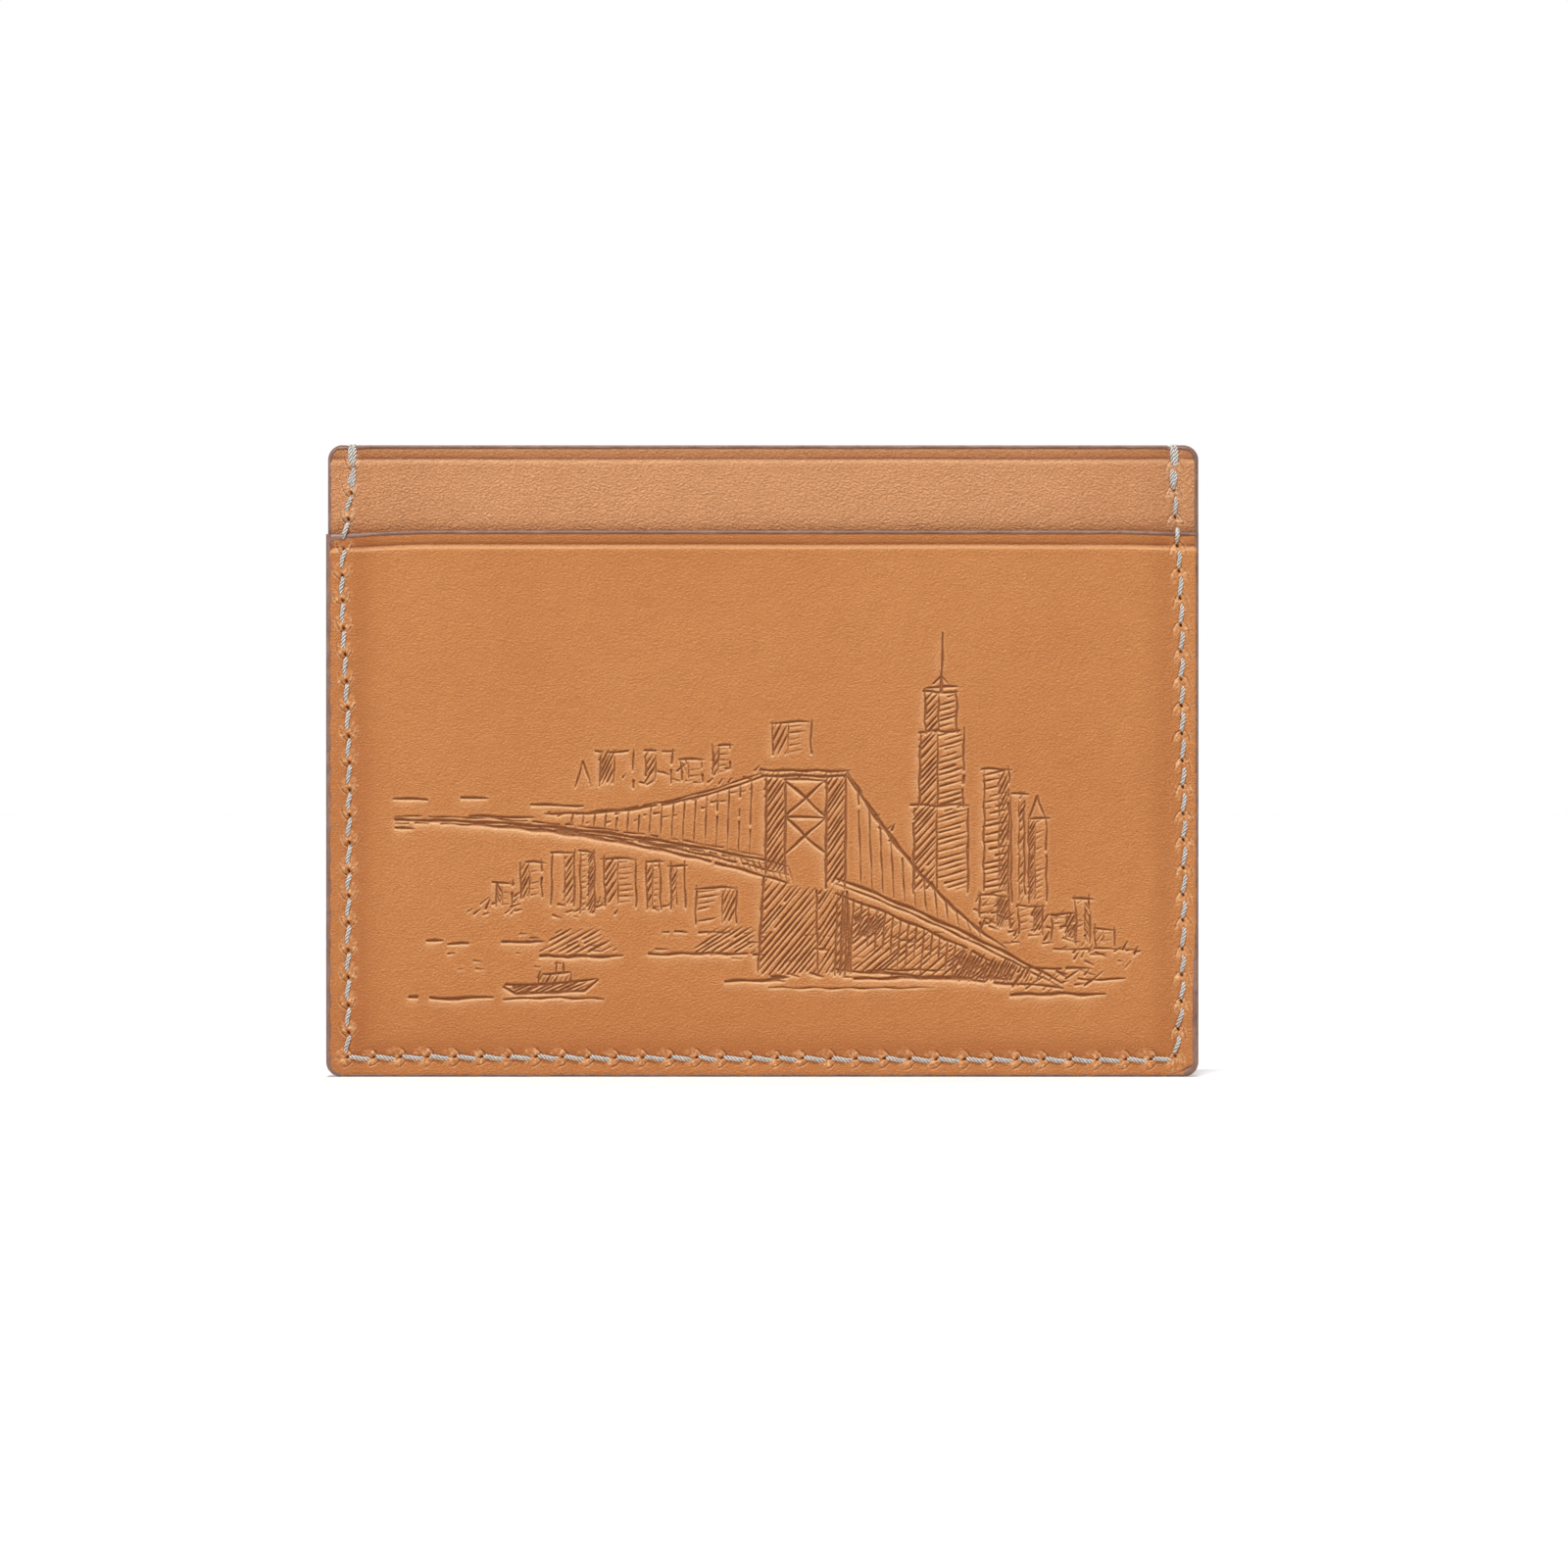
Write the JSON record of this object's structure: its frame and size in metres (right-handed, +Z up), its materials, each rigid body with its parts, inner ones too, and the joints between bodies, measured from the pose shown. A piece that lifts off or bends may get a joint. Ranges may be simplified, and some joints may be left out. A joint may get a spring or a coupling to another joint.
{
  "type": "card holder",
  "caption": "Flat leather card holder with a pocket on each face and one between, saddle stitched down both sides and along the bottom, with painted edges.",
  "frame": {"origin": "centre of the bottom edge, where the card holder rests when it stands", "axes": "+X along the width, to the right seen from the front; +Y through the thickness, from front to back; +Z up, the way the pockets open"},
  "size_m": [0.1, 0.0052, 0.0724],
  "materials": {
    "panel_leather": "natural tan vegetable-tanned leather with a fine smooth grain and a soft waxed sheen",
    "lining_leather": "thin skived leather, suede side showing",
    "linen_thread": "waxed off-white twisted linen thread",
    "edge_paint": "satin grey-brown edge paint"
  },
  "bodies": {
    "root": {"front_pocket_panel": "panel_leather", "front_body_panel": "panel_leather", "back_body_panel": "panel_leather", "back_pocket_panel": "panel_leather", "centre_pocket_front_lining": "lining_leather", "centre_pocket_back_lining": "lining_leather", "saddle_thread_a": "linen_thread", "saddle_thread_b": "linen_thread", "edge_coat_left": "edge_paint", "edge_coat_right": "edge_paint", "edge_coat_bottom": "edge_paint", "mouth_coat_front_pocket": "edge_paint", "mouth_coat_front_body": "edge_paint", "mouth_coat_back_body": "edge_paint", "mouth_coat_back_pocket": "edge_paint"}
  },
  "joints": []
}
